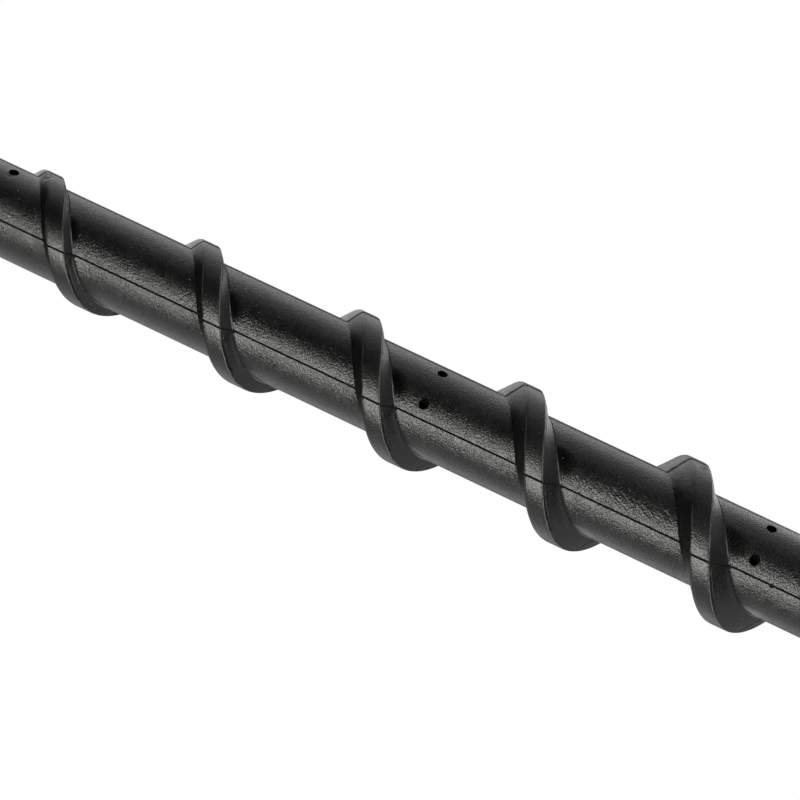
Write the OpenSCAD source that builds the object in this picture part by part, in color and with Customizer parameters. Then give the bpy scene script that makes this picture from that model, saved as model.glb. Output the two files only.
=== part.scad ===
// Short flexible mast aerial for a car roof, all sizes in millimetres.
// The mast stands along Z: the threaded stud points down and the tip up.
// The seat face that lies on the aerial base is the plane Z = 0.
// The mould's four quarters part at 45, 135, 225 and 315 degrees about Z.

/* [Mast] */
// height of the tip above the seat face
mast_h = 205; // [170:5:260]
// diameter of the plain tube between the turns of the rib
tube_d = 8; // [7.6:0.1:10]
// height of the domed end above its edge
dome_h = 2; // [1:0.25:3]

/* [Wind rib] */
// rise of the helical rib in one turn
rib_pitch = 15.67; // [13:0.25:22]
// width of the flat crest along the mast
crest_w = 1.77; // [1.2:0.05:2.6]
// height of the rib where it leaves the collar
rib_foot_h = 3.2; // [1.5:0.1:3.6]
// how far the flank leans back for each millimetre of height
flank_run = 0.675; // [0.4:0.025:0.9]
// plain length between the end of the rib and the tip
rib_end_gap = 14; // [8:1:30]
// direction in which the rib crosses the height of the middle pins
rib_phase = 130.6; // [-180:0.1:180]

/* [Collar] */
// height of the collar that holds the ferrule
collar_h = 28; // [26:1:36]
// how far the collar stands out past the crest of the rib
collar_step = 0.35; // [0.2:0.05:0.8]
// size of the chamfer round the seat face
seat_chamfer = 0.5; // [0.2:0.1:1]

/* [Steady-pin holes] */
// diameter of the holes that the mould's steady pins leave
pin_d = 0.92; // [0.7:0.02:1.1]
// distance from the middle of a quarter to each hole of a pair
pin_offset = 1.75; // [1.2:0.05:1.8]
// height of the lowest holes
pin_z_low = 80.8; // [60:1:95]
// height of the middle holes
pin_z_mid = 112.1; // [100:1:125]
// height of the highest holes
pin_z_high = 154.7; // [130:1:160]

/* [Core] */
// diameter of the glass-fibre rod
rod_d = 3; // [2.4:0.1:3.2]
// diameter of the copper wire
wire_d = 0.4; // [0.3:0.05:0.5]
// number of turns of wire along the rod
wire_turns = 34; // [20:1:38]
// thickness of the shrunk sleeve over the winding
sleeve_t = 0.3; // [0.2:0.05:0.4]
// length of solid moulding above the core
cap_t = 8; // [6:1:14]

/* [Ferrule and stud] */
// diameter of the ferrule's round flange
flange_d = 9.6; // [9:0.1:11]
// thickness of the flange
flange_t = 3; // [2:0.25:4]
// distance across the flats of the hexagonal body
hex_af = 8; // [7:0.25:8.5]
// height of the ferrule above the seat face
ferrule_h = 22; // [18:1:24]
// depth of the socket that the rod stands in
socket_depth = 16; // [10:1:16]
// outside diameter of the stud's thread
stud_d = 5; // [4:0.5:6]
// length of the stud
stud_l = 10; // [8:0.5:14]

/* [Hidden] */
tube_r = tube_d / 2;
rod_r = rod_d / 2;
wire_r = wire_d / 2;
pin_r = pin_d / 2;

// clearance on each side of the wire
wind_gap = 0.05;
// radius of the winding's centre line
wind_r = rod_r + wire_r + wind_gap;
sleeve_r_in = wind_r + wire_r + wind_gap;
sleeve_r = sleeve_r_in + sleeve_t;
core_top = mast_h - cap_t;

// The crest runs along one straight taper from the collar to the rib's end.
rib_end_z = mast_h - rib_end_gap;
// height at which the rib's taper would reach the tube
rib_zero_z = rib_end_z + 4.3;
function rib_h(z) = rib_foot_h * (rib_zero_z - z) / (rib_zero_z - collar_h);
// The collar follows the same taper, one step further out.
function collar_r(z) = tube_r + rib_h(z) + collar_step;

rib_steps = 36;
// The rib starts inside the collar, where its end is covered.
rib_start_z = collar_h - rib_pitch / 3;
rib_n = ceil((rib_end_z - rib_start_z) / rib_pitch * rib_steps);
// number of steps in which the last of the rib dives into the tube
dive_steps = 3;
dive_depth = 0.3;
// depth of the rib's root below the tube's surface
root = 0.5;
// size of the small bevel on both edges of the crest
edge = 0.14;
rib_start_a = rib_phase + 360 * (rib_start_z - pin_z_mid) / rib_pitch;

slot_w = wire_d + 2 * wind_gap;
socket_floor = ferrule_h - socket_depth;
// depth of the wire's tail in the ferrule's slot
tail = 5;
// height where the winding starts above the ferrule
lead = 1;
wire_top = core_top - 6;
wind_z0 = ferrule_h + lead;
wire_pitch = (wire_top - wind_z0) / wire_turns;
wire_steps = 18;
wire_n = wire_turns * wire_steps;
wire_sides = 6;

hex_z = flange_t + 2;
hex_h = 5;
groove_d = hex_af - 1;
ring_h = 2;
nose_z = hex_z + hex_h + 1.5 + ring_h;
nose_r = sleeve_r + 0.3;
stud_chamfer = 0.6;

// Joins rings of equal length into one closed surface.
function ring_faces(rings, sides) = concat(
  [[for (j = [0:sides - 1]) j]],
  [for (i = [0:rings - 2]) for (j = [0:sides - 1])
    let (a = i * sides + j, b = i * sides + (j + 1) % sides)
    each [[a, a + sides, b + sides], [a, b + sides, b]]],
  [[for (j = [sides - 1:-1:0]) (rings - 1) * sides + j]]
);

// Height of the rib at one step, with the dive at its upper end.
function step_h(i) =
  let (h = rib_h(rib_start_z + rib_pitch * i / rib_steps), left = rib_n - i)
  left >= dive_steps ? h : h - (h + dive_depth) * (1 - left / dive_steps);

// Outline of the rib as distance from the axis and height along it.
function rib_section(h) = let (half = crest_w / 2) [
  [tube_r - root, half + flank_run * (h + root)],
  [tube_r + h - edge, half + flank_run * edge],
  [tube_r + h, half - edge],
  [tube_r + h, edge - half],
  [tube_r + h - edge, -half - flank_run * edge],
  [tube_r - root, -half - flank_run * (h + root)]
];

// The helical rib that breaks up the wind behind the mast.
module wind_rib() {
  sides = 6;
  points = [for (i = [0:rib_n])
    let (
      a = rib_start_a + 360 * i / rib_steps,
      z = rib_start_z + rib_pitch * i / rib_steps,
      section = rib_section(step_h(i))
    )
    for (p = section) [p[0] * cos(a), p[0] * sin(a), z + p[1]]];
  polyhedron(points = points, faces = ring_faces(rib_n + 1, sides), convexity = 12);
}

// Tube, domed tip and the collar at the seat.
module mast_body() {
  shoulder = collar_r(collar_h) - tube_r;
  rotate_extrude()
    polygon([
      [0, 0],
      [collar_r(0) - seat_chamfer, 0],
      [collar_r(0), seat_chamfer],
      [collar_r(collar_h - 1), collar_h - 1],
      [collar_r(collar_h) - 0.5, collar_h],
      [tube_r, collar_h + shoulder * 0.6],
      [tube_r, mast_h - dome_h],
      [tube_r * 0.86, mast_h - dome_h * 0.5],
      [tube_r * 0.5, mast_h - dome_h * 0.12],
      [tube_r * 0.2, mast_h],
      [0, mast_h]
    ]);
}

// Steady-pin holes, in pairs from two opposite quarters, down to the core.
module pin_holes() {
  for (z = [pin_z_low, pin_z_mid, pin_z_high])
    for (side = [0, 180])
      for (x = [-pin_offset, pin_offset])
        rotate([0, 0, side])
          translate([x, 0, z])
            rotate([90, 0, 0])
              cylinder(r = pin_r, h = tube_r + rib_foot_h + 2);
}

// Outside of the ferrule: flange, hexagon, ring and nose.
module ferrule_outside() {
  cylinder(d = flange_d, h = flange_t);
  cylinder(d = groove_d, h = nose_z);
  translate([0, 0, hex_z])
    cylinder(d = hex_af / cos(30), h = hex_h, $fn = 6);
  translate([0, 0, nose_z - ring_h])
    cylinder(d = hex_af, h = ring_h);
  cylinder(r = nose_r, h = ferrule_h);
}

// One moulding: collar, tube, rib and tip, moulded over the core and the ferrule.
module mast_sheath() {
  color([0.05, 0.05, 0.055])
    difference() {
      union() {
        mast_body();
        wind_rib();
      }
      ferrule_outside();
      cylinder(r = sleeve_r, h = core_top);
      pin_holes();
    }
}

// Turned brass ferrule with the stud in one piece, its thread left as a plain cylinder.
module base_ferrule() {
  color([0.78, 0.6, 0.28])
    difference() {
      union() {
        ferrule_outside();
        translate([0, 0, -stud_l])
          cylinder(r1 = stud_d / 2 - stud_chamfer, r2 = stud_d / 2, h = stud_chamfer);
        translate([0, 0, stud_chamfer - stud_l])
          cylinder(d = stud_d, h = stud_l - stud_chamfer);
      }
      translate([0, 0, socket_floor])
        cylinder(r = rod_r, h = socket_depth + 1);
      translate([0, -slot_w / 2, ferrule_h - tail - wind_gap])
        cube([wind_r + wire_r + wind_gap, slot_w, tail + 1]);
    }
}

// Glass-fibre rod that stands in the ferrule's socket.
module core_rod() {
  color([0.82, 0.8, 0.62])
    translate([0, 0, socket_floor])
      cylinder(r = rod_r, h = core_top - socket_floor);
}

// Centre line of the wire: a straight tail, then the winding.
function wire_path() = concat(
  [[0, ferrule_h - tail], [0, ferrule_h + lead / 2]],
  [for (i = [0:wire_n]) [360 * i / wire_steps, wind_z0 + wire_pitch * i / wire_steps]]
);
function wire_point(p) = [wind_r * cos(p[0]), wind_r * sin(p[0]), p[1]];

// Copper wire wound on the rod, its tail soldered in the ferrule's slot.
module aerial_wire() {
  path = wire_path();
  last = len(path) - 1;
  points = [for (i = [0:last])
    let (
      here = wire_point(path[i]),
      ahead = wire_point(path[min(i + 1, last)]) - wire_point(path[max(i - 1, 0)]),
      along = ahead / norm(ahead),
      out = [cos(path[i][0]), sin(path[i][0]), 0],
      side = cross(along, out)
    )
    for (j = [0:wire_sides - 1])
      here + wire_r * (cos(360 * j / wire_sides) * out + sin(360 * j / wire_sides) * side)];
  color([0.72, 0.4, 0.2])
    polyhedron(points = points, faces = ring_faces(last + 1, wire_sides), convexity = 12);
}

// Sleeve shrunk over the winding before the mast is moulded.
module shrink_sleeve() {
  color([0.08, 0.08, 0.08])
    translate([0, 0, ferrule_h])
      difference() {
        cylinder(r = sleeve_r, h = core_top - ferrule_h);
        translate([0, 0, -1])
          cylinder(r = sleeve_r_in, h = core_top - ferrule_h + 2);
      }
}

mast_sheath();
base_ferrule();
core_rod();
aerial_wire();
shrink_sleeve();
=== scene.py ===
# %% [markdown]
# A car mast aerial is a short springy rod that screws into a base on the roof. What is seen is one
# black moulding: a tube with a helical rib that keeps the wind from whistling. This lesson dresses
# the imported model, which stands along Z with the stud down, for a close view of its middle.
# All lengths in the text are in millimetres and are turned into metres where a mesh is made.

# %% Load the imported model
import math

import bmesh
import bpy
import numpy as np
from mathutils import Matrix, Vector


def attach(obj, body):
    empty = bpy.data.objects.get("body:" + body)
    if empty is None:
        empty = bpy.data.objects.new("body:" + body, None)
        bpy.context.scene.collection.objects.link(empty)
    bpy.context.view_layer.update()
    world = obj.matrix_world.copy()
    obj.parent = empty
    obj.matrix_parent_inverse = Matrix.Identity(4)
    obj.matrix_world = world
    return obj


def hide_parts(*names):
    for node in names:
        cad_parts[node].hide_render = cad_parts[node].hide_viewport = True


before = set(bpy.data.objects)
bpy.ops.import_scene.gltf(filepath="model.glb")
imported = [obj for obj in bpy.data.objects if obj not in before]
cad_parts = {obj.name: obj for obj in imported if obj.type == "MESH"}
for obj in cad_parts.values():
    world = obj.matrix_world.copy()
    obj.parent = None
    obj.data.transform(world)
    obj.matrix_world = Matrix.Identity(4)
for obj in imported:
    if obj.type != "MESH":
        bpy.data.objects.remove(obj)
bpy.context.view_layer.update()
MM = 0.001
print("nodes:", sorted(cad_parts))

# %% [markdown]
# The sizes below are the ones the solids were made with, so each new piece takes the exact place of
# the solid that it stands for. The rib is a right-handed helix. Its crest keeps one width, its flanks
# lean back by the same slope everywhere, and it gets lower towards the tip.

# %% Sizes of the mast
mast_h, tube_r, dome_h = 205.0, 4.0, 2.0
rib_pitch, crest_w, flank_run = 15.67, 1.766, 0.675
rib_foot_h, rib_end_z, rib_zero_z = 3.2, 191.0, 195.3
collar_h, collar_step, seat_chamfer = 28.0, 0.35, 0.5
rib_phase, phase_z = 130.6, 112.1
pin_r, pin_offset, pin_heights = 0.46, 1.75, (80.8, 112.1, 154.7)
sleeve_r, core_top = 2.3, 197.0
stud_r, stud_l = 2.5, 10.0
ferrule_h, flange_r, flange_t = 22.0, 4.8, 3.0


def rib_height(z):
    """Height of the rib above the tube where its middle is at height z."""
    return rib_foot_h * (rib_zero_z - z) / (rib_zero_z - collar_h)


def collar_r(z):
    """Radius of the collar, which follows the rib's taper one step further out."""
    return tube_r + rib_height(z) + collar_step


print("rib height at collar and at middle:", round(rib_height(collar_h), 2), round(rib_height(115), 2))

# %% [markdown]
# Modelling with operators acts on whatever is selected, and the loaded solids still are. So each
# step starts by leaving edit mode and clearing the selection. The helpers here are the handful of
# moves used again and again: start clean, draw an outline point by point, spin it into a body,
# merge double points and make the faces point outwards.


# %% Helpers for modelling by hand
def clean_start():
    if bpy.context.object and bpy.context.object.mode != "OBJECT":
        bpy.ops.object.mode_set(mode="OBJECT")
    bpy.ops.object.select_all(action="DESELECT")


def only(obj):
    clean_start()
    obj.select_set(True)
    bpy.context.view_layer.objects.active = obj
    return obj


def outline(name, points):
    """An open outline in the XZ plane: one point, extruded to the next, and so on in order."""
    clean_start()
    first = Vector((points[0][0] * MM, 0, points[0][1] * MM))
    bpy.ops.mesh.primitive_plane_add(size=MM, location=(0, 0, 0))
    obj = bpy.context.object
    obj.name = name
    bpy.ops.object.mode_set(mode="EDIT")
    bpy.ops.mesh.select_all(action="SELECT")
    bpy.ops.mesh.merge(type="CENTER")
    bpy.ops.object.mode_set(mode="OBJECT")
    bpy.ops.object.mode_set(mode="EDIT")
    bpy.ops.mesh.select_all(action="SELECT")
    bpy.ops.transform.translate(value=first)
    for before, after in zip(points, points[1:]):
        step = ((after[0] - before[0]) * MM, 0, (after[1] - before[1]) * MM)
        bpy.ops.mesh.extrude_region_move(TRANSFORM_OT_translate={"value": step})
    bpy.ops.object.mode_set(mode="OBJECT")
    return obj


def tidy_mesh(obj, gap=0.002):
    """Merges double points and turns all faces outwards."""
    only(obj)
    bpy.ops.object.mode_set(mode="EDIT")
    bpy.ops.mesh.select_all(action="SELECT")
    bpy.ops.mesh.remove_doubles(threshold=gap * MM)
    bpy.ops.mesh.normals_make_consistent(inside=False)
    bpy.ops.object.mode_set(mode="OBJECT")
    return obj


def turned(name, points, steps=96):
    """A turned body: the outline is spun once round Z."""
    obj = only(outline(name, points))
    bpy.ops.object.mode_set(mode="EDIT")
    bpy.ops.mesh.select_all(action="SELECT")
    bpy.ops.mesh.spin(steps=steps, angle=2 * math.pi, center=(0, 0, 0), axis=(0, 0, 1))
    bpy.ops.object.mode_set(mode="OBJECT")
    return tidy_mesh(obj)


def apply_modifier(obj, kind, **settings):
    only(obj)
    modifier = obj.modifiers.new(kind.lower(), kind)
    for key, value in settings.items():
        setattr(modifier, key, value)
    bpy.ops.object.modifier_apply(modifier=modifier.name)
    return obj


def combine(obj, other, operation):
    """Joins, cuts or trims obj with another closed body, which is then deleted."""
    apply_modifier(obj, "BOOLEAN", object=other, operation=operation, solver="EXACT")
    bpy.data.objects.remove(other)
    return obj


def soften(obj, degrees=35):
    only(obj)
    bpy.ops.object.shade_smooth_by_angle(angle=math.radians(degrees))
    return obj


def count(obj):
    """Prints the size of a mesh and how many of its edges don't join exactly two faces."""
    obj.data.calc_loop_triangles()
    mesh = bmesh.new()
    mesh.from_mesh(obj.data)
    loose = sum(not edge.is_manifold for edge in mesh.edges)
    print(obj.name, "triangles:", len(obj.data.loop_triangles), "open edges:", loose)
    mesh.free()


# %% [markdown]
# The tube and its rib are one skin. A single outline, one pitch long, crosses the rib once: tube,
# hollow fillet, flank, rounded edge, crest, and the same again down the other side. The Screw
# modifier winds it up the mast. The rib's height changes all the way, so afterwards each outline
# in the winding is set to the height it has at its own place.

# %% Outline of one turn
foot_fillet = 0.2
tip_edge, foot_edge = 0.4, 0.26
tip_rows, foot_rows = 3, 5
round_steps = 4
first_row = 2 + round_steps
lean = math.atan(flank_run)
full_size_h = 0.8


def size_share(h):
    """Where the rib is low, its edges, fillets and hollows get smaller with it."""
    return min(1.0, max(h, 0.0) / full_size_h)


def half_section(h, edge_r, rows):
    """One side of the rib, from the middle of the crest outwards: (along the mast, height)."""
    edge, foot = edge_r * size_share(h), foot_fillet * size_share(h)
    half = crest_w / 2
    corner = math.pi / 2 - lean
    points = [(0, h), (half * 0.5, h)]
    start = half - edge * math.tan(corner / 2)
    for k in range(round_steps):
        a = corner * k / (round_steps - 1)
        points.append((start + edge * math.sin(a), h - edge * (1 - math.cos(a))))
    low = half + flank_run * h + foot * math.tan(corner / 2)
    high_along, high_h = low - foot * math.sin(corner), foot * (1 - math.cos(corner))
    last_along, last_h = points[first_row - 1]
    for row in range(rows):
        share = (row + 1) / (rows + 1)
        row_along = last_along + (high_along - last_along) * share
        points.append((row_along, last_h + (high_h - last_h) * share))
    for k in range(round_steps):
        a = corner * (1 - k / (round_steps - 1))
        points.append((low - foot * math.sin(a), foot * (1 - math.cos(a))))
    return points


def full_section(h, sink=None):
    """The outline over one pitch, from low to high; sink lowers the flank that faces the foot."""
    reach = rib_pitch / 2
    sides = [half_section(h, foot_edge, foot_rows), half_section(h, tip_edge, tip_rows)]
    if sink:
        for row in range(foot_rows):
            depth = sink((row + 1) / (foot_rows + 1)) * size_share(h)
            along, height = sides[0][first_row + row]
            sunk = (along - depth * math.cos(lean), height - depth * math.sin(lean))
            sides[0][first_row + row] = sunk
    for side in sides:
        last = side[-1][0]
        side += [(last + (reach - last) * s, 0.0) for s in (0.25, 0.5, 0.75, 1.0)]
    lower = [(-a, b) for a, b in reversed(sides[0][1:])]
    return lower + sides[1]


section = full_section(2.0)
print("points in one outline:", len(section))

# %% [markdown]
# The mould is in four quarters that part at 45, 135, 225 and 315 degrees. On the real mast each
# parting line is a hair-thin groove. The columns of the winding beside each of those four directions
# are moved close to it, and the column between them is sunk, which gives a true fine line. The
# quarters don't quite match: just below each line the flank that faces the foot lies a little deeper,
# and this hollow starts with a pointed arch that rises from the crest to the line.

# %% Directions of the columns
columns = 192
line_half_angle, wide_half_angle, wide_line = 1.0, 1.6, 315.0
line_depth = 0.2
quarter = columns // 4
first_line = columns // 8
arch_angle, hollow_depth = 13.0, 0.09


def column_angle(i):
    """Direction of column i in degrees, drawn together beside the parting lines."""
    angle = 360.0 * i / columns
    near = (i - first_line) % quarter
    half = wide_half_angle if abs(angle % 360 - wide_line) < 3 else line_half_angle
    if near == 1:
        return angle - 360.0 / columns + half
    if near == quarter - 1:
        return angle + 360.0 / columns - half
    return angle


def waver(i, z):
    """How far the edge of a parting line strays at height z, in degrees."""
    if (i - first_line) % quarter not in (1, quarter - 1):
        return 0.0
    return 0.1 * math.sin(z * 1.9) + 0.08 * math.sin(z * 5.3 + 1)


def on_line(i):
    return (i - first_line) % quarter == 0


def smooth(value, low, high):
    share = min(1.0, max(0.0, (value - low) / (high - low)))
    return share * share * (3 - 2 * share)


def hollow(angle):
    """How deep the flank lies at each share of its way down, in one direction round the mast."""
    below = (45.0 - angle) % 90.0
    fade = 1 - smooth(below, 45, 80)

    def depth(share):
        start = arch_angle * (1 - share) ** 0.7
        return hollow_depth * fade * smooth(below, start - 0.5, start + 2.0)

    return depth


print("columns:", columns, "on a line:", sum(on_line(i) for i in range(columns)))

# %% Wind the outline up the mast
band_low = 17.0
ramp_low, ramp_high = 19.5, 25.0
band_high = mast_h - 6.0
start_z = band_low - 1.5 * rib_pitch
start_turns = math.floor((start_z - phase_z) / rib_pitch + rib_phase / 360)
turns = math.ceil((band_high + 0.5 * rib_pitch - start_z) / rib_pitch) + 1

mast = outline("mast", [(tube_r + h, a) for a, h in section])
apply_modifier(
    mast,
    "SCREW",
    angle=2 * math.pi,
    iterations=turns,
    screw_offset=rib_pitch * MM,
    steps=columns,
    render_steps=columns,
    use_merge_vertices=False,
    use_normal_calculate=False,
)
print("points after winding:", len(mast.data.vertices), "turns:", turns)


# %% Give each outline in the winding its own height
def dressed_height(z):
    """Height of the rib with its start inside the collar and its run-out near the tip."""
    h = max(rib_height(z), 0.0)
    h *= min(1.0, max(0.0, (z - ramp_low) / (ramp_high - ramp_low)))
    left = (rib_end_z - z) / (rib_pitch / 12)
    return h * min(1.0, max(0.0, left))


size = len(section)
points = np.zeros((len(mast.data.vertices), 3))
for step in range(len(points) // size):
    turn, i = divmod(step, columns)
    angle = column_angle(i)
    z = phase_z + rib_pitch * (start_turns + turn + (angle - rib_phase) / 360)
    sunk = line_depth if on_line(i) else 0.0
    for k, (along, h) in enumerate(full_section(dressed_height(z), hollow(angle))):
        r = tube_r + h - sunk
        a = math.radians(angle + waver(i, z + along))
        points[step * size + k] = (r * math.cos(a), r * math.sin(a), z + along)
mast.data.vertices.foreach_set("co", (points * MM).astype(np.float32).ravel())
mast.data.update()
tidy_mesh(mast, gap=0.0005)
count(mast)

# %% [markdown]
# The winding still ends in two ragged turns. Bisect cuts both ends square. The lower cut is filled,
# because the collar covers it. The upper ring is drawn up and in, a step at a time, to make the dome.


# %% Square ends and domed tip
def cut_square(obj, z, keep_above):
    """Cuts obj level at height z and keeps one side; the new ring stays selected."""
    only(obj)
    bpy.ops.object.mode_set(mode="EDIT")
    bpy.ops.mesh.select_all(action="SELECT")
    bpy.ops.mesh.bisect(
        plane_co=(0, 0, z * MM),
        plane_no=(0, 0, 1),
        clear_inner=keep_above,
        clear_outer=not keep_above,
        threshold=0.0001 * MM,
    )
    bpy.ops.mesh.remove_doubles(threshold=0.02 * MM)


cut_square(mast, band_low, keep_above=True)
bpy.ops.mesh.edge_face_add()
cut_square(mast, band_high, keep_above=False)
dome_steps = 8
ring_z, ring_r = band_high, tube_r
for step in range(dome_steps + 1):
    a = math.radians(84.0) * step / dome_steps
    new_z = mast_h - dome_h + dome_h * math.sin(a)
    new_r = tube_r * math.cos(a) ** 0.8
    bpy.ops.mesh.extrude_region_move(TRANSFORM_OT_translate={"value": (0, 0, (new_z - ring_z) * MM)})
    share = new_r / ring_r
    bpy.ops.transform.resize(value=(share, share, 1), center_override=(0, 0, new_z * MM))
    ring_z, ring_r = new_z, new_r
bpy.ops.mesh.edge_face_add()
bpy.ops.mesh.select_all(action="SELECT")
bpy.ops.mesh.normals_make_consistent(inside=False)
bpy.ops.object.mode_set(mode="OBJECT")
count(mast)

# %% [markdown]
# The collar is a turned body that swallows the foot of the rib. It is joined to the mast with an
# exact Boolean, so the rib runs out of its shoulder as one skin, with no face left inside.

# %% Collar
shoulder = collar_r(collar_h) - tube_r
collar_points = [
    (0, 0),
    (collar_r(0) - seat_chamfer, 0),
    (collar_r(0) - 0.15, 0.18),
    (collar_r(0), seat_chamfer),
    (collar_r(collar_h - 1), collar_h - 1),
    (collar_r(collar_h) - 0.12, collar_h - 0.45),
    (collar_r(collar_h) - 0.5, collar_h),
    (tube_r + 0.5, collar_h + shoulder * 0.6 - 0.3),
    (tube_r + 0.12, collar_h + shoulder * 0.6 - 0.03),
    (tube_r - 0.4, collar_h + shoulder * 0.6),
    (0, collar_h + shoulder * 0.6),
]
collar = turned("collar", collar_points, steps=160)
combine(mast, collar, "UNION")
count(mast)

# %% [markdown]
# Inside the moulding is the room for the ferrule and for the rod with its winding and sleeve. On
# the real mast these are put in the mould first and the rubber flows round them. Here they are cut
# out of the moulding: a turned body for the round parts and a six-sided one for the hexagon.

# %% Room for the ferrule and the core
hex_z, hex_h, hex_af = flange_t + 2, 5.0, 8.0
ring_h = 2.0
nose_z = hex_z + hex_h + 1.5 + ring_h
groove_r = (hex_af - 1) / 2
nose_r = sleeve_r + 0.3
ferrule_points = [
    (flange_r, 0),
    (flange_r, flange_t),
    (groove_r, flange_t),
    (groove_r, nose_z - ring_h),
    (hex_af / 2, nose_z - ring_h),
    (hex_af / 2, nose_z),
    (nose_r, nose_z),
    (nose_r, ferrule_h),
]


def six_sided(name, across_flats, z, height):
    clean_start()
    bpy.ops.mesh.primitive_cylinder_add(
        vertices=6,
        radius=across_flats / math.sqrt(3) * MM,
        depth=height * MM,
        location=(0, 0, 0),
    )
    obj = bpy.context.object
    obj.name = name
    bpy.ops.object.mode_set(mode="EDIT")
    bpy.ops.mesh.select_all(action="SELECT")
    bpy.ops.transform.rotate(value=math.radians(30), orient_axis="Z", center_override=(0, 0, 0))
    bpy.ops.transform.translate(value=(0, 0, (z + height / 2) * MM))
    bpy.ops.object.mode_set(mode="OBJECT")
    return obj


core_points = [(sleeve_r, ferrule_h), (sleeve_r, core_top), (0, core_top)]
room_points = [(0, -1), (flange_r, -1)] + ferrule_points[1:] + core_points
combine(mast, turned("room", room_points, steps=96), "DIFFERENCE")
combine(mast, six_sided("hexagon_room", hex_af, hex_z, hex_h), "DIFFERENCE")
count(mast)

# %% [markdown]
# Steady pins hold the core in the middle of the mould while it fills, and leave round holes down
# to the sleeve. They stand in pairs, parallel to the way their quarter of the mould opens, here
# along Y. One drill, a primitive cylinder turned on its side, is used for every hole.


# %% Steady-pin holes
def drill(x, z, side):
    """A cylinder along Y that reaches from inside the sleeve to past the rib, on one side."""
    clean_start()
    length = 7.0
    bpy.ops.mesh.primitive_cylinder_add(
        vertices=32,
        radius=pin_r * MM,
        depth=length * MM,
        location=(0, 0, 0),
    )
    obj = bpy.context.object
    bpy.ops.object.mode_set(mode="EDIT")
    bpy.ops.mesh.select_all(action="SELECT")
    bpy.ops.transform.rotate(value=math.radians(90), orient_axis="X", center_override=(0, 0, 0))
    bpy.ops.transform.translate(value=(x * MM, side * (length / 2 + 0.5) * MM, z * MM))
    bpy.ops.object.mode_set(mode="OBJECT")
    return obj


drills = []
for z in pin_heights:
    for side in (-1, 1):
        drills += [drill(x, z, side) for x in (-pin_offset, pin_offset)]
only(drills[0])
for tool in drills:
    tool.select_set(True)
bpy.ops.object.join()
combine(mast, drills[0], "DIFFERENCE")
print("holes drilled:", len(drills))
soften(mast, 30)
count(mast)
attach(mast, "root")
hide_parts("mast_sheath")

# %% [markdown]
# The ferrule is turned from brass bar in one piece with its stud. Its hexagon and grooves are what
# the moulding grips. The stud's thread is cut here as a real helix: a V outline is wound by the
# Screw modifier, its ends are cut square, and it is joined to the turned core of the stud.

# %% Ferrule
thread_pitch, thread_depth = 0.8, 0.49
stud_core = stud_r - thread_depth
stud_chamfer = 0.6
socket_r, socket_floor, socket_edge = 1.5, ferrule_h - 16.0, 0.15
stud_points = [
    (0, -stud_l),
    (stud_r - stud_chamfer - 0.02, -stud_l),
    (stud_core, -stud_l + 0.09),
    (stud_core, -0.75),
    (stud_core + 0.05, -0.05),
    (stud_core + 0.3, 0),
]
socket_points = [
    (socket_r + socket_edge, ferrule_h),
    (socket_r, ferrule_h - socket_edge),
    (socket_r, socket_floor),
    (0, socket_floor),
]
ferrule = turned("ferrule", stud_points + ferrule_points + socket_points, steps=96)
combine(ferrule, six_sided("hexagon", hex_af, hex_z, hex_h), "UNION")


# %% Thread of the stud
def wound_thread(name, r_low, r_high, pitch, z_low, z_high, steps=48):
    """A closed screw body: a V outline wound round Z and cut square at both ends."""
    flat, middle = pitch / 8, pitch / 2
    tooth = [
        (r_low, 0),
        (r_low, flat),
        (r_high, middle - flat / 2),
        (r_high, middle + flat / 2),
        (r_low, pitch),
    ]
    obj = outline(name, [(r, z + z_low - 2 * pitch) for r, z in tooth])
    apply_modifier(
        obj,
        "SCREW",
        angle=2 * math.pi,
        iterations=int((z_high - z_low) / pitch) + 4,
        screw_offset=pitch * MM,
        steps=steps,
        render_steps=steps,
    )
    tidy_mesh(obj)
    for z, above in ((z_low, True), (z_high, False)):
        cut_square(obj, z, keep_above=above)
        bpy.ops.mesh.edge_face_add()
    bpy.ops.mesh.select_all(action="SELECT")
    bpy.ops.mesh.normals_make_consistent(inside=False)
    bpy.ops.object.mode_set(mode="OBJECT")
    return obj


thread = wound_thread("thread", stud_core - 0.02, stud_r, thread_pitch, -stud_l + 0.05, -0.9)
chamfered_end = [
    (0, -stud_l - 1),
    (stud_r - stud_chamfer, -stud_l - 1),
    (stud_r - stud_chamfer, -stud_l),
    (stud_r, -stud_l + stud_chamfer),
    (stud_r + 0.2, -stud_l + stud_chamfer),
    (stud_r + 0.2, 1),
    (0, 1),
]
combine(thread, turned("chamfered_end", chamfered_end), "INTERSECT")
combine(ferrule, thread, "UNION")
soften(ferrule, 30)
count(ferrule)
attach(ferrule, "root")
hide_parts("base_ferrule")

# %% [markdown]
# A material is a small network of nodes. To write its sums as plain expressions, one class wraps a
# socket and turns +, -, *, / and abs() into Math nodes. Any other node comes from its add method,
# which takes a socket by its name, or as i0, i1 and so on by its number.


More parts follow.
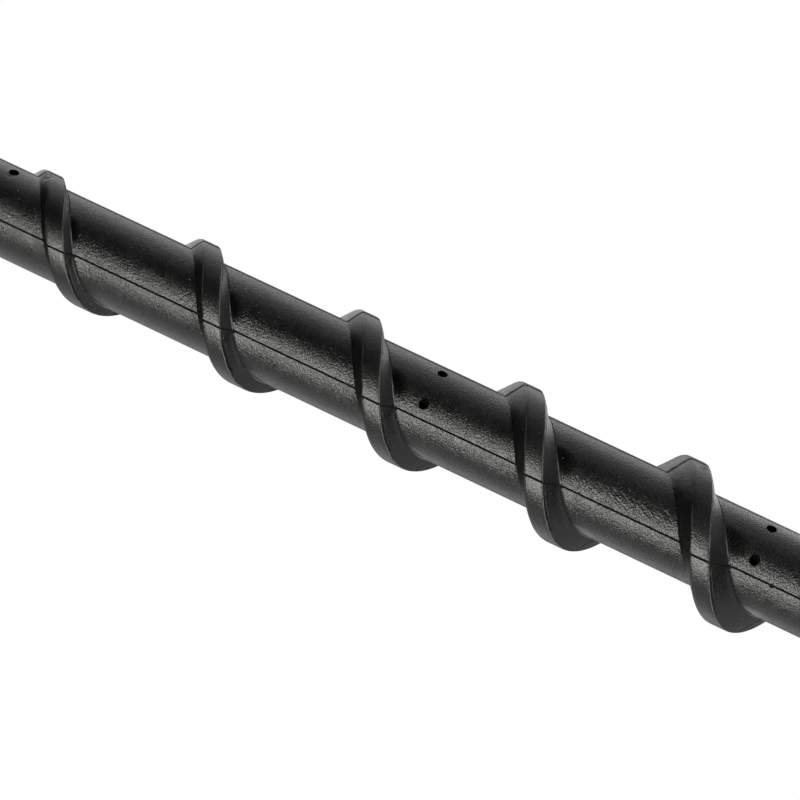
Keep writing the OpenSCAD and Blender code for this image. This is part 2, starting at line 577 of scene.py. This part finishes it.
# %% Shader helper
class Socket:
    """A shader output that adds Math nodes when it is used in an expression."""

    def __init__(self, tree, out):
        self.tree, self.out = tree, out

    def add(self, kind, settings=None, **inputs):
        node = self.tree.nodes.new(kind)
        for key, value in (settings or {}).items():
            setattr(node, key, value)
        for key, value in inputs.items():
            numbered = key[0] == "i" and key[1:].isdigit()
            target = node.inputs[int(key[1:]) if numbered else key.replace("_", " ")]
            if isinstance(value, Socket):
                self.tree.links.new(value.out, target)
            else:
                target.default_value = value
        return node

    def out_of(self, node, name=0):
        return Socket(self.tree, node.outputs[name])

    def math(self, operation, *values, clamp=False):
        inputs = {f"i{k}": v for k, v in enumerate(values)}
        node = self.add("ShaderNodeMath", {"operation": operation, "use_clamp": clamp}, **inputs)
        return self.out_of(node)

    def __add__(self, other):
        return self.math("ADD", self, other)

    def __sub__(self, other):
        return self.math("SUBTRACT", self, other)

    def __mul__(self, other):
        return self.math("MULTIPLY", self, other)

    def __truediv__(self, other):
        return self.math("DIVIDE", self, other)

    def __rsub__(self, other):
        return self.math("SUBTRACT", other, self)

    def __neg__(self):
        return self.math("MULTIPLY", self, -1)

    def __abs__(self):
        return self.math("ABSOLUTE", self)

    __radd__ = __add__
    __rmul__ = __mul__

    def ramp(self, low, high):
        """0 below low, 1 above high and smooth between."""
        smooth_step = {"interpolation_type": "SMOOTHSTEP"}
        node = self.add("ShaderNodeMapRange", smooth_step, Value=self, From_Min=low, From_Max=high)
        return self.out_of(node)

    def fade(self, low, high):
        """1 below low, 0 above high and smooth between."""
        return 1 - self.ramp(low, high)

    def parts(self):
        node = self.add("ShaderNodeSeparateXYZ", Vector=self)
        return [self.out_of(node, k) for k in range(3)]

    def near(self, centre, reach):
        """1 close to a point of the mast, given in millimetres, and 0 further off than reach."""
        spot = Vector(centre) * MM
        node = self.add("ShaderNodeVectorMath", {"operation": "DISTANCE"}, i0=self, i1=spot)
        return self.out_of(node, "Value").fade(reach * 0.4 * MM, reach * MM)

    def noise(self, scale, detail=2.0, roughness=0.5):
        """Noise on this vector; scale is how many lumps fit in a millimetre."""
        per_metre = scale / MM
        node = self.add(
            "ShaderNodeTexNoise",
            Vector=self,
            Scale=per_metre,
            Detail=detail,
            Roughness=roughness,
        )
        return self.out_of(node, "Fac")

    def stretched(self, *scale):
        """This vector with each of its axes scaled."""
        return self.out_of(self.add("ShaderNodeMapping", Vector=self, Scale=scale), "Vector")

    def blend(self, first, second):
        """Colour from first to second as this goes from 0 to 1."""
        node = self.add("ShaderNodeMix", {"data_type": "RGBA"}, i0=self)
        for index, colour in ((6, first), (7, second)):
            if isinstance(colour, Socket):
                self.tree.links.new(colour.out, node.inputs[index])
            else:
                node.inputs[index].default_value = (*colour, 1)
        return self.out_of(node, 2)


def new_material(name):
    """A material with one Principled shader; gives it, its place on the object and the shader."""
    material = bpy.data.materials.new(name)
    material.use_nodes = True
    tree = material.node_tree
    shader = tree.nodes["Principled BSDF"]
    place = Socket(tree, tree.nodes.new("ShaderNodeTexCoord").outputs["Object"])
    return material, place, shader


def feed(shader, name, value):
    value.tree.links.new(value.out, shader.inputs[name])


def bumped(place, shader, height, distance):
    """Relief: a height that goes from 0 to 1 stands for so many millimetres."""
    node = place.add("ShaderNodeBump", Height=height, Distance=distance * MM, Strength=1.0)
    feed(shader, "Normal", place.out_of(node, "Normal"))


def wear(obj, material):
    obj.data.materials.clear()
    obj.data.materials.append(material)


# %% [markdown]
# The moulding is black rubber-like plastic from a sand-blasted mould. Its grain is as fine as the
# picture can show, so the light breaks up into grit where the bands end. Marks that follow the rib
# need its own measure: from the angle round the mast and the height, the shader works out how far a
# place is from the middle of the crest, and how far from the nearest parting line. Both are in
# millimetres, plus towards the tip and plus above the line as the camera sees it.

# %% Measures along the rib, for the moulding
rubber, place, shader = new_material("moulding")
across, deep, height = place.parts()
around = place.math("ARCTAN2", deep, across)
radius = place.math("SQRT", across * across + deep * deep) / MM
height_mm = height / MM
turn_count = height / (rib_pitch * MM) - around / (2 * math.pi)
offset = phase_z / rib_pitch - rib_phase / 360 - 0.5
along_rib = (place.math("FRACT", turn_count - (offset - 100)) - 0.5) * rib_pitch
from_line = (place.math("FRACT", around / (math.pi / 2) + 4) - 0.5) * (math.pi / 2) * radius
below_line = -from_line
above_tube = radius - tube_r
rib_here = (-(height_mm - along_rib) + rib_zero_z) * (rib_foot_h / (rib_zero_z - collar_h))
off_collar = height_mm.ramp(collar_h + 2, collar_h + 4)
on_rib = above_tube.ramp(0.1, 0.4)
free_rib = above_tube.ramp(0.4, 0.8) * off_collar
print("measures ready for", rubber.name)

# %% [markdown]
# Three noises carry most of the surface: the fine grain, patches a millimetre wide that make it
# uneven, and slow clouds. Where the melt met above one parting line, streaks lean along the flow,
# so this noise is read on the unrolled skin, turned and squeezed.

# %% Grain and flow streaks
grain = place.noise(6.0, detail=2.0, roughness=0.65)
cloud = place.noise(0.45, detail=3.0)
patch = place.noise(1.4, detail=2.0)
broken = grain.ramp(0.35, 0.6)
flow_lean, flow_squeeze = math.radians(24), 0.2
lean_cos, lean_sin = math.cos(flow_lean), math.sin(flow_lean)
flow_place = place.add(
    "ShaderNodeCombineXYZ",
    X=around * (tube_r * lean_cos) - height * (lean_sin / MM),
    Y=(height * (lean_cos / MM) + around * (tube_r * lean_sin)) * flow_squeeze,
)
flow_node = place.add(
    "ShaderNodeTexNoise",
    Vector=place.out_of(flow_place),
    Scale=4.5,
    Detail=2.0,
    Roughness=0.5,
)
flow = place.out_of(flow_node, "Fac")
flow_area = place.near((-2.3, -3.3, 92.0), 5.5) * from_line.ramp(0.0, 0.3)
print("noises: grain, cloud, patch, flow")

# %% [markdown]
# The quarters of the mould leave thin lines: a sharp lip along the crest's edge that faces the foot,
# and fine creases below each parting line, with the arch where the quarters don't match. Painted
# highlights go with them: pale lines along both edges of the crest, broken up in patches, and a pale
# line along the rib's foot above each parting line. Each is a gap, the distance from the line's
# middle, turned into a mask that fades within a tenth of a millimetre.

# %% Lips and creases of the rib
from_foot_edge = along_rib + crest_w / 2
beyond_edge = -along_rib - crest_w / 2
beyond_foot = beyond_edge - rib_here * flank_run
lip_gap = abs(from_foot_edge + (patch - 0.5) * 0.16)
# The lip is a real raised ridge on the crest's edge that faces the foot; its mask also places a
# painted highlight.
lip = lip_gap.fade(0.02, 0.07 + grain.ramp(0.5, 0.8) * 0.08) * free_rib
# Painted highlight: a pale line along the crest's edge towards the tip, where the rounded edge would
# catch light.
tip_gap = abs(along_rib - crest_w / 2 + 0.03)
painted_tip_highlight = tip_gap.fade(0.01, 0.05) * free_rib * cloud.ramp(0.35, 0.6)
# Painted highlight along both crest edges, in patches.
painted_edge_highlight = lip * patch.ramp(0.2, 0.5) + painted_tip_highlight * 0.5
foot_gap = abs(from_foot_edge + rib_here * flank_run + 0.02)
# Painted highlight: a pale line along the fillet at the rib's foot, above each parting line.
painted_foot_highlight = foot_gap.fade(0.02, 0.06) * from_line.ramp(-0.05, 0.05) * from_line.fade(1.4, 2.4)
painted_foot_highlight = painted_foot_highlight * off_collar * patch.ramp(0.25, 0.5)
foot_crease = foot_gap.fade(0.03, 0.09) * below_line.ramp(0.3, 0.6) * off_collar
up_flank = place.math("POWER", place.math("MAXIMUM", above_tube / rib_here, 0.0), 0.7)
arch_gap = abs(below_line - radius * up_flank * math.radians(arch_angle))
on_foot_flank = beyond_edge.ramp(0.0, 0.05) * off_collar * above_tube.ramp(0.05, 0.2)
arch_crease = arch_gap.fade(0.03, 0.08) * on_foot_flank
edge_gap = abs(from_foot_edge + 0.13 + (patch - 0.5) * 0.1)
edge_crease = edge_gap.fade(0.02, 0.06) * below_line.ramp(0.3, 1.0) * free_rib
creases = foot_crease + arch_crease + edge_crease
print("lines: lip, painted_tip_highlight, painted_foot_highlight, creases")

# %% [markdown]
# Single marks lie where they were seen: a nick, a stained spot beside a steady-pin hole, the ring of
# a knock-out pin and a crumb of flash, which is rubber squeezed out between two quarters. A small pit
# sits wherever a parting line meets the rib's foot. In the corner beside the rib the blasting hardly
# reached the mould, so the skin there is smoother and looks blacker.

# %% Marks and the smooth corner
ring_place, ring_outer, ring_inner = (2.56, -4.12, 151.77), 0.6, 0.46
nick = place.near((-2.86, -2.8, 78.6), 0.2)
stained = place.near((1.22, -3.81, 154.76), 0.5) * broken
ring = place.near(ring_place, ring_outer) * (1 - place.near(ring_place, ring_inner)) * 1.2
flash = place.near((3.62, -4.84, 88.12), 0.5) * broken
line_gap = abs(from_line)
line_floor = line_gap.fade(0.06, 0.09)
pit = foot_gap.fade(0.04, 0.16) * line_gap.fade(0.1, 0.22) * above_tube.ramp(-0.3, 0.0) * off_collar
dents = nick + stained
corner = (beyond_foot / rib_here).fade(0.2, 1.25) * beyond_foot.ramp(-0.3, 0.0)
corner = corner * (1 - on_rib) * from_line.ramp(0.0, 1.8) * off_collar
print("marks: nick, stain, ring, flash, pit, corner")

# %% [markdown]
# All relief goes into one height in millimetres, for one Bump node. The colour is nearly black all
# over; only the crumb of flash, specks of dust and the painted highlights along the crest's edges and
# the rib's foot are grey.

# %% Black moulding
grain_h = (0.042 + patch * 0.052) * (1 - on_rib * 0.35) * (1 - corner * 0.75)
raised = grain * grain_h + flow * flow_area * 0.07 + lip * 0.08 + flash * 0.1
relief = raised - (dents + pit + line_floor + creases + ring) * 0.12
dust_node = place.add("ShaderNodeTexVoronoi", Vector=place, Scale=1.5 / MM)
dust_pick = place.out_of(dust_node, "Color").parts()[0].ramp(0.4, 0.6)
dust = place.out_of(dust_node, "Distance").fade(0.04, 0.09) * dust_pick
black = cloud.ramp(0.3, 0.7).blend((0.004, 0.004, 0.0042), (0.0065, 0.0063, 0.0062))
# Grey share: the flash, plus the painted highlights on the crest's edges and at the rib's foot.
flash_and_highlight_share = flash * 0.4 + painted_edge_highlight * 0.6 + painted_foot_highlight * 0.8
black_with_flash_and_highlights = flash_and_highlight_share.blend(black, (0.3, 0.3, 0.29))
even = 0.245 + cloud * 0.05 + on_rib * 0.06 - corner * 0.13
feed(shader, "Base Color", dust.blend(black_with_flash_and_highlights, (0.35, 0.35, 0.34)))
feed(shader, "Roughness", even + (line_floor + dents + pit + creases) * 0.5)
shader.inputs["Specular IOR Level"].default_value = 1.0
bumped(place, shader, relief, 1.0)
wear(mast, rubber)
print("material:", rubber.name, "nodes:", len(rubber.node_tree.nodes))

# %% [markdown]
# The hidden pieces get their finishes too: turned brass, resin-bound glass fibre, bare copper wire
# and a black sleeve, which is the dark bottom of each steady-pin hole.

# %% Hidden pieces
brass, place, shader = new_material("turned_brass")
rings = place.stretched(0.05, 0.05, 1).noise(9.0, detail=2.0)
stain = place.noise(0.5, detail=3.0)
feed(shader, "Base Color", stain.ramp(0.35, 0.75).blend((0.72, 0.52, 0.2), (0.56, 0.38, 0.14)))
feed(shader, "Roughness", 0.24 + rings * 0.12 + stain * 0.08)
shader.inputs["Metallic"].default_value = 1.0
bumped(place, shader, rings, 0.004)
wear(ferrule, brass)

glass_fibre, place, shader = new_material("glass_fibre")
strands = place.stretched(1, 1, 0.03).noise(6.0, detail=3.0)
feed(shader, "Base Color", strands.blend((0.62, 0.6, 0.42), (0.82, 0.8, 0.66)))
feed(shader, "Roughness", 0.35 + strands * 0.2)
bumped(place, shader, strands, 0.01)
wear(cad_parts["core_rod"], glass_fibre)

copper, place, shader = new_material("copper_wire")
drawn = place.noise(3.0, detail=2.0)
feed(shader, "Base Color", drawn.blend((0.6, 0.28, 0.15), (0.85, 0.48, 0.3)))
feed(shader, "Roughness", 0.22 + drawn * 0.15)
shader.inputs["Metallic"].default_value = 1.0
wear(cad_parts["aerial_wire"], copper)

sleeve, place, shader = new_material("sleeve")
skin = place.noise(2.0, detail=3.0)
feed(shader, "Base Color", skin.blend((0.008, 0.008, 0.008), (0.014, 0.014, 0.014)))
feed(shader, "Roughness", 0.6 + skin * 0.15)
bumped(place, shader, skin, 0.01)
wear(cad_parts["shrink_sleeve"], sleeve)
print("materials:", [m.name for m in (rubber, brass, glass_fibre, copper, sleeve)])

# %% [markdown]
# The picture looks at the middle of the mast, rolled so that the mast runs down to the lower right,
# with the foot's end a little nearer. The camera's directions are worked out from three angles: how
# far the mast slopes in the picture, how far it points at the camera, and which way the mast is
# turned about itself. Distances are in tube radii, and the magnification is in pixels to a radius.

# %% Camera
slope, toward, turn_about = math.radians(25.3155), math.radians(11.4425), math.radians(-120.673)
aim_z, aim_right, aim_up = 115.0, 0.0167, 0.0643
distance, magnification, picture_px = 81.8983, 46.072, 800

to_foot = Vector((0, 0, -1))
facing = Vector((math.cos(turn_about), math.sin(turn_about), 0))
above = Vector((-math.sin(turn_about), math.cos(turn_about), 0))
right = (
    to_foot * math.cos(toward) * math.cos(slope)
    + above * math.sin(slope)
    - facing * math.sin(toward) * math.cos(slope)
)
up = (
    -to_foot * math.cos(toward) * math.sin(slope)
    + above * math.cos(slope)
    + facing * math.sin(toward) * math.sin(slope)
)
back = to_foot * math.sin(toward) + facing * math.cos(toward)
aim = Vector((0, 0, aim_z * MM))
unit = tube_r * MM

camera_data = bpy.data.cameras.new("camera")
camera_data.sensor_width = 36.0
camera_data.lens = magnification * distance / picture_px * camera_data.sensor_width
camera_data.clip_start = 0.01
camera = bpy.data.objects.new("camera", camera_data)
bpy.context.scene.collection.objects.link(camera)
turn = Matrix((right, up, back)).transposed().to_4x4()
turn.translation = aim + (back * distance - right * aim_right - up * aim_up) * unit
camera.matrix_world = turn
bpy.context.scene.camera = camera
print("lens:", round(camera_data.lens, 1), "mm; distance:", round(distance * tube_r), "mm")

# %% [markdown]
# Soft studio light. A satin black tube shows its lamps as bands along it, so each lamp is placed for
# the band that it makes. A big soft box just under the camera makes the broad band along the middle;
# the dark strip above it is where the gloss finds nothing bright in front. Two boxes behind draw the
# pale edges at the top and bottom. The rib's flanks look along the mast, so each kind has its own
# box: one towards the tip, and a small near one behind the foot. A lamp is given by its angle round
# the mast from the camera, up being plus, its tilt towards the foot, its size as seen from the mast,
# and how bright it looks, where 1 is white.


# %% Lamps
def from_mast(around, tilt):
    """Direction away from the mast: around it from the camera, tilted towards the foot (degrees)."""
    around, tilt = math.radians(around), math.radians(tilt)
    level = facing * math.cos(around) + above * math.sin(around)
    return level * math.cos(tilt) + to_foot * math.sin(tilt)


def lamp(name, around, tilt, wide, long, bright, far=0.6, colour=(1, 1, 1)):
    """A soft box: wide across the mast and long along it, in degrees as seen from it."""
    away = from_mast(around, tilt)
    data = bpy.data.lights.new(name, "AREA")
    data.shape = "RECTANGLE"
    data.size = 2 * far * math.tan(math.radians(long / 2))
    data.size_y = 2 * far * math.tan(math.radians(wide / 2))
    data.energy = 4 * bright * data.size * data.size_y
    data.color = colour
    obj = bpy.data.objects.new(name, data)
    obj.visible_camera = False
    along = (to_foot - away * to_foot.dot(away)).normalized()
    side = away.cross(along)
    placed = Matrix((along, side, away)).transposed().to_4x4()
    placed.translation = aim + away * far
    obj.matrix_world = placed
    bpy.context.scene.collection.objects.link(obj)
    print(name, "power", round(data.energy, 2), "W")


lamp("front_box", -30, -8, 28, 30, 6.2, colour=(1, 0.995, 0.955))
lamp("top_edge_box", 132, -6, 22, 34, 0.67, colour=(0.98, 0.985, 1))
lamp("low_edge_box", -136, -4, 30, 30, 0.26)
lamp("tip_side_box", 141, -44, 54, 34, 0.75, far=0.4)
lamp("foot_rear_box", 150, 20, 40, 22, 1.15, far=0.15)

# %% [markdown]
# The background is white: the camera sees the world at full strength, and so do rays that go on
# through glass. The gloss sees the pale backdrop behind the mast and at its sides. In front of the
# mast, towards its tip and right behind its edges the room is dim, which gives the dark strips.
# The floor is treated the same way: its pale level for the camera is a little glow of its own, of
# which the gloss sees a small share, and what light falls on it still draws the mast's shadow.

# %% Room
world = bpy.data.worlds.new("studio")
bpy.context.scene.world = world
world.use_nodes = True
sky = world.node_tree


def rays(tree):
    """Masks for the rays of the camera, of the gloss and of what shows through glass."""
    path = tree.nodes.new("ShaderNodeLightPath")
    kinds = ("Camera", "Glossy", "Transmission")
    return [Socket(tree, path.outputs[f"Is {kind} Ray"]) for kind in kinds]


camera_ray, glossy_ray, through_ray = rays(sky)
toward_world = Socket(sky, sky.nodes.new("ShaderNodeTexCoord").outputs["Generated"])


def share_of(direction):
    """How far a ray into the room goes along a direction, from -1 to 1."""
    dot = {"operation": "DOT_PRODUCT"}
    node = toward_world.add("ShaderNodeVectorMath", dot, i0=toward_world, i1=direction)
    return toward_world.out_of(node, "Value")


room_light, extra_for_gloss = 0.2, 0.4
behind = share_of(facing).fade(-0.15, 0.65)
level_band = (-share_of(to_foot)).fade(0.45, 0.72)
off_middle = share_of(above).ramp(0.02, 0.2) + (-share_of(above)).ramp(0.02, 0.2) * 0.8
past_edge = (-share_of(facing)).ramp(0.88, 0.96) * off_middle
room = behind * level_band * (1 - past_edge) * (room_light + glossy_ray * extra_for_gloss)
strength = room.math("MAXIMUM", camera_ray.math("MAXIMUM", camera_ray, through_ray), room)
sky.links.new(strength.out, sky.nodes["Background"].inputs["Strength"])
sky.nodes["Background"].inputs["Color"].default_value = (1, 1, 1, 1)
print("world:", world.name, "nodes:", len(sky.nodes))

# %% Floor
clean_start()
bpy.ops.mesh.primitive_plane_add(size=3.0, location=(0, 0, -stud_l * MM))
floor = bpy.context.object
floor.name = "floor"
floor_paint, place, shader = new_material("floor_paint")
paper = place.noise(0.02, detail=2.0)
shader.inputs["Roughness"].default_value = 0.9
camera_ray, glossy_ray, through_ray = rays(floor_paint.node_tree)
seen = place.math("ADD", camera_ray + through_ray, glossy_ray * 0.15, clamp=True)
pale = paper.blend((0.8, 0.8, 0.8), (0.84, 0.84, 0.84))
feed(shader, "Base Color", seen.blend(pale, (0.4, 0.4, 0.4)))
feed(shader, "Emission Color", seen.blend((0, 0, 0), (0.68, 0.68, 0.68)))
shader.inputs["Emission Strength"].default_value = 1.0
wear(floor, floor_paint)
bpy.context.scene.view_settings.view_transform = "Standard"
